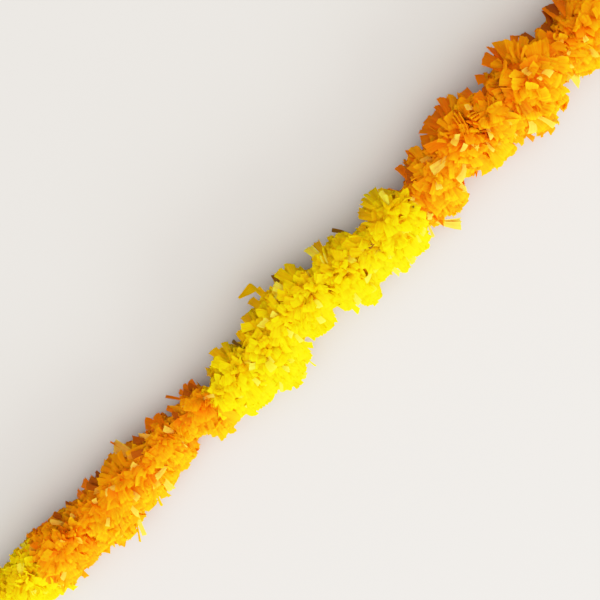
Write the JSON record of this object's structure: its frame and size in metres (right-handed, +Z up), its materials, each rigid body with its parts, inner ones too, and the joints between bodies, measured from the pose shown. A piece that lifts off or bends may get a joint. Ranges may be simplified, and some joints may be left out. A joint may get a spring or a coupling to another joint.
{
  "type": "marigold garland",
  "caption": "Straight garland of double marigold heads strung close together on a cotton thread in yellow and orange runs, knotted at both ends, for draping or laying out.",
  "frame": {"origin": "under the middle of the garland, on the surface it lies on", "axes": "+X along the garland from the left end knot to the right end knot, +Z up"},
  "size_m": [0.694, 0.0734, 0.0613],
  "materials": {
    "orange_petal": "soft crumpled petals, slightly translucent",
    "yellow_petal": "soft crumpled petals, slightly translucent",
    "cotton_thread": "matte twisted cotton"
  },
  "bodies": {
    "root": {"yellow_marigold_01": "yellow_petal", "yellow_marigold_02": "yellow_petal", "yellow_marigold_03": "yellow_petal", "orange_marigold_01": "orange_petal", "orange_marigold_02": "orange_petal", "orange_marigold_03": "orange_petal", "orange_marigold_04": "orange_petal", "orange_marigold_05": "orange_petal", "orange_marigold_06": "orange_petal", "orange_marigold_07": "orange_petal", "orange_marigold_08": "orange_petal", "yellow_marigold_04": "yellow_petal", "yellow_marigold_05": "yellow_petal", "yellow_marigold_06": "yellow_petal", "yellow_marigold_07": "yellow_petal", "yellow_marigold_08": "yellow_petal", "yellow_marigold_09": "yellow_petal", "yellow_marigold_10": "yellow_petal", "yellow_marigold_11": "yellow_petal", "orange_marigold_09": "orange_petal", "orange_marigold_10": "orange_petal", "orange_marigold_11": "orange_petal", "orange_marigold_12": "orange_petal", "orange_marigold_13": "orange_petal", "orange_marigold_14": "orange_petal", "orange_marigold_15": "orange_petal", "orange_marigold_16": "orange_petal", "orange_marigold_17": "orange_petal", "thread": "cotton_thread", "end_knot_left": "cotton_thread", "end_knot_right": "cotton_thread"}
  },
  "joints": []
}
